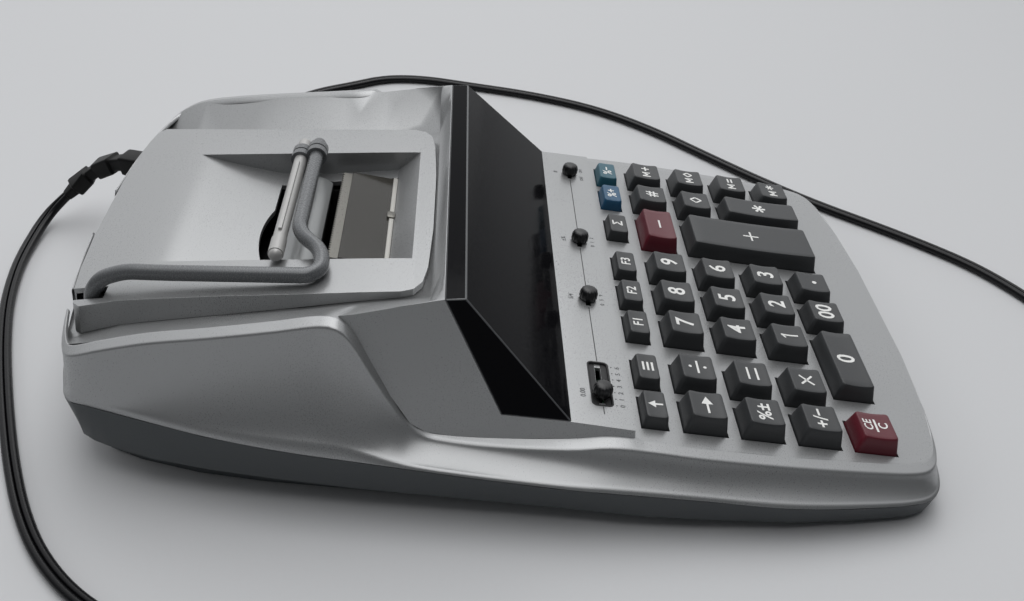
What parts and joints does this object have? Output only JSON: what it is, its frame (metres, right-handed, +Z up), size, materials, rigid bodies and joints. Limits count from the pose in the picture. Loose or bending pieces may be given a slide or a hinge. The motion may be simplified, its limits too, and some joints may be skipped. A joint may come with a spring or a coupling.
{
  "type": "printing calculator",
  "caption": "Desk calculator with a paper-roll printer: low silver case, dark base, sprung keys, black display wedge, hinged paper arm, and mains cord with plug.",
  "frame": {"origin": "centre of the bounding box's base, on the table, measured without the cord, coil, plug and boot", "axes": "+X to the user's right, +Y to the rear of the machine, +Z up"},
  "size_m": [0.4095, 0.4561, 0.0704],
  "materials": {
    "silver_case": "fine metallic satin paint on moulded shells",
    "dark_case": "fine textured",
    "steel_bar": "bare",
    "smoked_window": "smoked clear plate",
    "display_black": "high gloss",
    "display_glass": "dark tube",
    "frame_black": "moulded",
    "board_green": "board",
    "mat_grey": "moulded",
    "foot_rubber": "matt",
    "screw_steel": "zinc",
    "boot_rubber": "satin",
    "cord_black": "soft glossy sheath",
    "arm_grey": "satin dark grey",
    "spindle_grey": "moulded",
    "platen_rubber": "matt",
    "carriage_black": "moulded",
    "knob_black": "satin",
    "key_charcoal": "fine satin, dished tops",
    "key_maroon": "fine satin, dished tops",
    "key_blue": "fine satin, dished tops",
    "key_teal": "fine satin, dished tops"
  },
  "bodies": {
    "case": {"upper_case": "silver_case", "lower_case": "dark_case", "printer_cover": "silver_case", "tear_bar": "steel_bar", "paper_window": "smoked_window", "display_window": "display_black", "display_tube": "display_glass", "printer_frame": "frame_black", "main_board": "board_green", "key_mat": "mat_grey", "rubber_feet": "foot_rubber", "case_screws": "screw_steel", "cord_boot": "boot_rubber", "cord_lead": "cord_black", "cord_coil": "cord_black", "plug": "cord_black"},
    "key_feed": {"key_feed": "key_charcoal"},
    "key_receipt": {"key_receipt": "key_charcoal"},
    "key_cost": {"key_cost": "key_charcoal"},
    "key_sell": {"key_sell": "key_charcoal"},
    "key_margin": {"key_margin": "key_charcoal"},
    "key_grand_total": {"key_grand_total": "key_charcoal"},
    "key_tax_plus": {"key_tax_plus": "key_blue"},
    "key_tax_minus": {"key_tax_minus": "key_teal"},
    "key_arrow": {"key_arrow": "key_charcoal"},
    "key_divide": {"key_divide": "key_charcoal"},
    "key_7": {"key_7": "key_charcoal"},
    "key_8": {"key_8": "key_charcoal"},
    "key_9": {"key_9": "key_charcoal"},
    "key_subtotal": {"key_subtotal": "key_charcoal"},
    "key_memory_plus": {"key_memory_plus": "key_charcoal"},
    "key_percent": {"key_percent": "key_charcoal"},
    "key_equals": {"key_equals": "key_charcoal"},
    "key_4": {"key_4": "key_charcoal"},
    "key_5": {"key_5": "key_charcoal"},
    "key_6": {"key_6": "key_charcoal"},
    "key_total": {"key_total": "key_charcoal"},
    "key_memory_diamond": {"key_memory_diamond": "key_charcoal"},
    "key_sign": {"key_sign": "key_charcoal"},
    "key_times": {"key_times": "key_charcoal"},
    "key_1": {"key_1": "key_charcoal"},
    "key_2": {"key_2": "key_charcoal"},
    "key_3": {"key_3": "key_charcoal"},
    "key_memory_equals": {"key_memory_equals": "key_charcoal"},
    "key_clear": {"key_clear": "key_maroon"},
    "key_double_zero": {"key_double_zero": "key_charcoal"},
    "key_point": {"key_point": "key_charcoal"},
    "key_memory_star": {"key_memory_star": "key_charcoal"},
    "key_0": {"key_0": "key_charcoal"},
    "key_minus": {"key_minus": "key_maroon"},
    "key_plus": {"key_plus": "key_charcoal"},
    "key_star": {"key_star": "key_charcoal"},
    "decimal_knob": {"decimal_knob": "knob_black"},
    "rounding_knob": {"rounding_knob": "knob_black"},
    "rate_knob": {"rate_knob": "knob_black"},
    "print_knob": {"print_knob": "knob_black"},
    "paper_arm": {"paper_arm": "arm_grey", "roll_spindle": "spindle_grey"},
    "platen_roller": {"platen_roller": "platen_rubber"},
    "print_carriage": {"print_carriage": "carriage_black"}
  },
  "joints": [
    {"name": "key_feed_press", "type": "slide", "parent": "case", "child": "key_feed", "axis": [0, 0.1045, -0.9945], "range_m": [0, 0.003], "stiffness_N_per_m": 200, "springref_m": -0.001},
    {"name": "key_receipt_press", "type": "slide", "parent": "case", "child": "key_receipt", "axis": [0, 0.1045, -0.9945], "range_m": [0, 0.003], "stiffness_N_per_m": 200, "springref_m": -0.001},
    {"name": "key_cost_press", "type": "slide", "parent": "case", "child": "key_cost", "axis": [0, 0.1045, -0.9945], "range_m": [0, 0.003], "stiffness_N_per_m": 200, "springref_m": -0.001},
    {"name": "key_sell_press", "type": "slide", "parent": "case", "child": "key_sell", "axis": [0, 0.1045, -0.9945], "range_m": [0, 0.003], "stiffness_N_per_m": 200, "springref_m": -0.001},
    {"name": "key_margin_press", "type": "slide", "parent": "case", "child": "key_margin", "axis": [0, 0.1045, -0.9945], "range_m": [0, 0.003], "stiffness_N_per_m": 200, "springref_m": -0.001},
    {"name": "key_grand_total_press", "type": "slide", "parent": "case", "child": "key_grand_total", "axis": [0, 0.1045, -0.9945], "range_m": [0, 0.003], "stiffness_N_per_m": 200, "springref_m": -0.001},
    {"name": "key_tax_plus_press", "type": "slide", "parent": "case", "child": "key_tax_plus", "axis": [0, 0.1045, -0.9945], "range_m": [0, 0.003], "stiffness_N_per_m": 200, "springref_m": -0.001},
    {"name": "key_tax_minus_press", "type": "slide", "parent": "case", "child": "key_tax_minus", "axis": [0, 0.1045, -0.9945], "range_m": [0, 0.003], "stiffness_N_per_m": 200, "springref_m": -0.001},
    {"name": "key_arrow_press", "type": "slide", "parent": "case", "child": "key_arrow", "axis": [0, 0.1045, -0.9945], "range_m": [0, 0.003], "stiffness_N_per_m": 200, "springref_m": -0.001},
    {"name": "key_divide_press", "type": "slide", "parent": "case", "child": "key_divide", "axis": [0, 0.1045, -0.9945], "range_m": [0, 0.003], "stiffness_N_per_m": 200, "springref_m": -0.001},
    {"name": "key_7_press", "type": "slide", "parent": "case", "child": "key_7", "axis": [0, 0.1045, -0.9945], "range_m": [0, 0.003], "stiffness_N_per_m": 200, "springref_m": -0.001},
    {"name": "key_8_press", "type": "slide", "parent": "case", "child": "key_8", "axis": [0, 0.1045, -0.9945], "range_m": [0, 0.003], "stiffness_N_per_m": 200, "springref_m": -0.001},
    {"name": "key_9_press", "type": "slide", "parent": "case", "child": "key_9", "axis": [0, 0.1045, -0.9945], "range_m": [0, 0.003], "stiffness_N_per_m": 200, "springref_m": -0.001},
    {"name": "key_subtotal_press", "type": "slide", "parent": "case", "child": "key_subtotal", "axis": [0, 0.1045, -0.9945], "range_m": [0, 0.003], "stiffness_N_per_m": 200, "springref_m": -0.001},
    {"name": "key_memory_plus_press", "type": "slide", "parent": "case", "child": "key_memory_plus", "axis": [0, 0.1045, -0.9945], "range_m": [0, 0.003], "stiffness_N_per_m": 200, "springref_m": -0.001},
    {"name": "key_percent_press", "type": "slide", "parent": "case", "child": "key_percent", "axis": [0, 0.1045, -0.9945], "range_m": [0, 0.003], "stiffness_N_per_m": 200, "springref_m": -0.001},
    {"name": "key_equals_press", "type": "slide", "parent": "case", "child": "key_equals", "axis": [0, 0.1045, -0.9945], "range_m": [0, 0.003], "stiffness_N_per_m": 200, "springref_m": -0.001},
    {"name": "key_4_press", "type": "slide", "parent": "case", "child": "key_4", "axis": [0, 0.1045, -0.9945], "range_m": [0, 0.003], "stiffness_N_per_m": 200, "springref_m": -0.001},
    {"name": "key_5_press", "type": "slide", "parent": "case", "child": "key_5", "axis": [0, 0.1045, -0.9945], "range_m": [0, 0.003], "stiffness_N_per_m": 200, "springref_m": -0.001},
    {"name": "key_6_press", "type": "slide", "parent": "case", "child": "key_6", "axis": [0, 0.1045, -0.9945], "range_m": [0, 0.003], "stiffness_N_per_m": 200, "springref_m": -0.001},
    {"name": "key_total_press", "type": "slide", "parent": "case", "child": "key_total", "axis": [0, 0.1045, -0.9945], "range_m": [0, 0.003], "stiffness_N_per_m": 200, "springref_m": -0.001},
    {"name": "key_memory_diamond_press", "type": "slide", "parent": "case", "child": "key_memory_diamond", "axis": [0, 0.1045, -0.9945], "range_m": [0, 0.003], "stiffness_N_per_m": 200, "springref_m": -0.001},
    {"name": "key_sign_press", "type": "slide", "parent": "case", "child": "key_sign", "axis": [0, 0.1045, -0.9945], "range_m": [0, 0.003], "stiffness_N_per_m": 200, "springref_m": -0.001},
    {"name": "key_times_press", "type": "slide", "parent": "case", "child": "key_times", "axis": [0, 0.1045, -0.9945], "range_m": [0, 0.003], "stiffness_N_per_m": 200, "springref_m": -0.001},
    {"name": "key_1_press", "type": "slide", "parent": "case", "child": "key_1", "axis": [0, 0.1045, -0.9945], "range_m": [0, 0.003], "stiffness_N_per_m": 200, "springref_m": -0.001},
    {"name": "key_2_press", "type": "slide", "parent": "case", "child": "key_2", "axis": [0, 0.1045, -0.9945], "range_m": [0, 0.003], "stiffness_N_per_m": 200, "springref_m": -0.001},
    {"name": "key_3_press", "type": "slide", "parent": "case", "child": "key_3", "axis": [0, 0.1045, -0.9945], "range_m": [0, 0.003], "stiffness_N_per_m": 200, "springref_m": -0.001},
    {"name": "key_memory_equals_press", "type": "slide", "parent": "case", "child": "key_memory_equals", "axis": [0, 0.1045, -0.9945], "range_m": [0, 0.003], "stiffness_N_per_m": 200, "springref_m": -0.001},
    {"name": "key_clear_press", "type": "slide", "parent": "case", "child": "key_clear", "axis": [0, 0.1045, -0.9945], "range_m": [0, 0.003], "stiffness_N_per_m": 200, "springref_m": -0.001},
    {"name": "key_double_zero_press", "type": "slide", "parent": "case", "child": "key_double_zero", "axis": [0, 0.1045, -0.9945], "range_m": [0, 0.003], "stiffness_N_per_m": 200, "springref_m": -0.001},
    {"name": "key_point_press", "type": "slide", "parent": "case", "child": "key_point", "axis": [0, 0.1045, -0.9945], "range_m": [0, 0.003], "stiffness_N_per_m": 200, "springref_m": -0.001},
    {"name": "key_memory_star_press", "type": "slide", "parent": "case", "child": "key_memory_star", "axis": [0, 0.1045, -0.9945], "range_m": [0, 0.003], "stiffness_N_per_m": 200, "springref_m": -0.001},
    {"name": "key_0_press", "type": "slide", "parent": "case", "child": "key_0", "axis": [0, 0.1045, -0.9945], "range_m": [0, 0.003], "stiffness_N_per_m": 200, "springref_m": -0.001},
    {"name": "key_minus_press", "type": "slide", "parent": "case", "child": "key_minus", "axis": [0, 0.1045, -0.9945], "range_m": [0, 0.003], "stiffness_N_per_m": 200, "springref_m": -0.001},
    {"name": "key_plus_press", "type": "slide", "parent": "case", "child": "key_plus", "axis": [0, 0.1045, -0.9945], "range_m": [0, 0.003], "stiffness_N_per_m": 200, "springref_m": -0.001},
    {"name": "key_star_press", "type": "slide", "parent": "case", "child": "key_star", "axis": [0, 0.1045, -0.9945], "range_m": [0, 0.003], "stiffness_N_per_m": 200, "springref_m": -0.001},
    {"name": "decimal_knob_slide", "type": "slide", "parent": "case", "child": "decimal_knob", "axis": [1, 0, 0], "range_m": [-0.0019, 0.0135]},
    {"name": "rounding_knob_slide", "type": "slide", "parent": "case", "child": "rounding_knob", "axis": [1, 0, 0], "range_m": [-0.003, 0.003]},
    {"name": "rate_knob_slide", "type": "slide", "parent": "case", "child": "rate_knob", "axis": [1, 0, 0], "range_m": [-0.003, 0.003]},
    {"name": "print_knob_slide", "type": "slide", "parent": "case", "child": "print_knob", "axis": [1, 0, 0], "range_m": [-0.003, 0.003]},
    {"name": "paper_arm_swing", "type": "hinge", "parent": "case", "child": "paper_arm", "pos_m": [-0.0572, 0.14375, 0.0447], "axis": [-1, 0, 0], "range_deg": [0, 105]},
    {"name": "platen_turn", "type": "hinge", "parent": "case", "child": "platen_roller", "pos_m": [0, 0.07975, 0.038], "axis": [1, 0, 0], "continuous": true},
    {"name": "carriage_travel", "type": "slide", "parent": "case", "child": "print_carriage", "axis": [1, 0, 0], "range_m": [-0.018, 0.018]}
  ]
}
